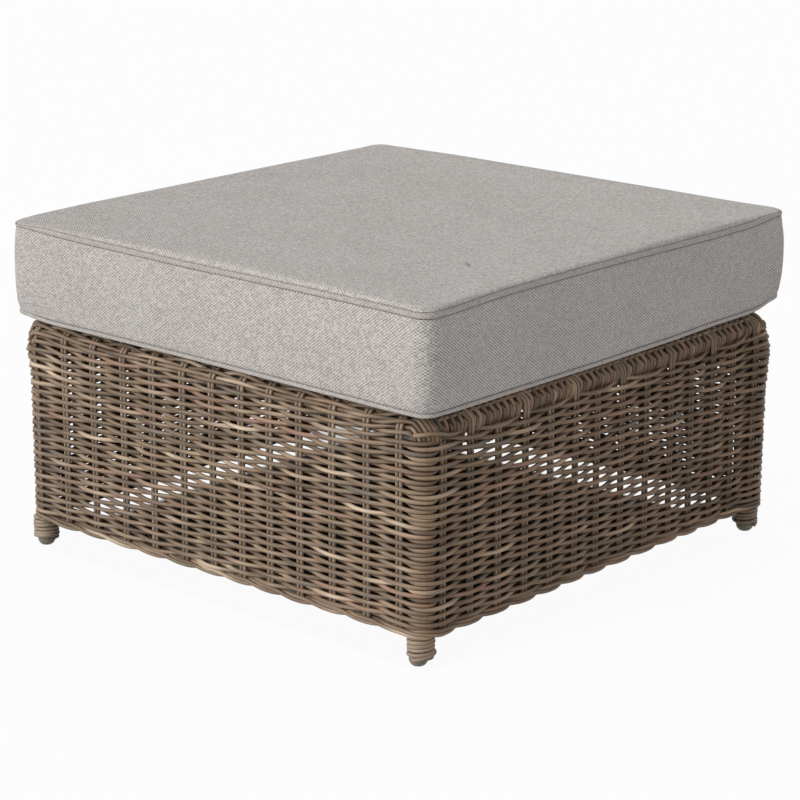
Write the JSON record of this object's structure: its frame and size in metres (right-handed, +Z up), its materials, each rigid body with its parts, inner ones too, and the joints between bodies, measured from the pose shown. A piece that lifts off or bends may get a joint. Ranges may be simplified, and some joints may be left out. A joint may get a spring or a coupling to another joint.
{
  "type": "outdoor ottoman footstool",
  "caption": "Square low woven-rattan ottoman on a tube frame with short wrapped legs and a loose zip-off box cushion, used as a footstool or extra seat.",
  "frame": {"origin": "on the floor under the centre of the ottoman", "axes": "+Z up; -Y is the front, where the woven rows run on over the rim; +X is the right side; +Y is the back, where the cushion's zip is"},
  "size_m": [0.756, 0.756, 0.463],
  "materials": {
    "frame": "brown powder coat",
    "rattan": "round synthetic rattan strand, mixed tan and grey-brown with fine streaks",
    "glide": "moulded olive-brown plastic",
    "fabric": "light warm grey outdoor fabric in a basket weave",
    "foam": "open-cell foam",
    "zip": "woven polyester tape with a nylon coil",
    "zip_metal": "dull nickel"
  },
  "bodies": {
    "base": {"post_front_right": "frame", "post_back_right": "frame", "post_back_left": "frame", "post_front_left": "frame", "top_rail_front": "frame", "top_rail_right": "frame", "top_rail_back": "frame", "top_rail_left": "frame", "lower_rail_front": "frame", "lower_rail_right": "frame", "lower_rail_back": "frame", "lower_rail_left": "frame", "seat_bar_1": "frame", "seat_bar_2": "frame", "seat_bar_3": "frame", "foot_glide_front_right": "glide", "foot_glide_back_right": "glide", "foot_glide_back_left": "glide", "foot_glide_front_left": "glide", "leg_winding_front_right": "rattan", "leg_winding_back_right": "rattan", "leg_winding_back_left": "rattan", "leg_winding_front_left": "rattan", "woven_wall_front": "rattan", "woven_wall_right": "rattan", "woven_wall_back": "rattan", "woven_wall_left": "rattan", "woven_rim_front": "rattan", "woven_rim_back": "rattan", "rim_wrap_right": "rattan", "rim_wrap_left": "rattan", "seat_deck": "rattan"},
    "cushion": {"cushion_cover": "fabric", "foam_core": "foam", "welt_bottom": "fabric", "welt_top": "fabric", "zip_tape": "zip"},
    "zip_slider": {"zip_slider": "zip_metal"},
    "zip_pull": {"zip_pull": "zip_metal"}
  },
  "joints": [
    {"name": "cushion_lift", "type": "slide", "parent": "base", "child": "cushion", "axis": [0, 0, 1], "range_m": [0, 0.25]},
    {"name": "zip_slide", "type": "slide", "parent": "cushion", "child": "zip_slider", "axis": [-1, 0, 0], "range_m": [0, 0.48]},
    {"name": "zip_pull_turn", "type": "hinge", "parent": "zip_slider", "child": "zip_pull", "pos_m": [0.24, 0.3761, 0.39325], "axis": [0, 0, -1], "range_deg": [0, 170]}
  ]
}
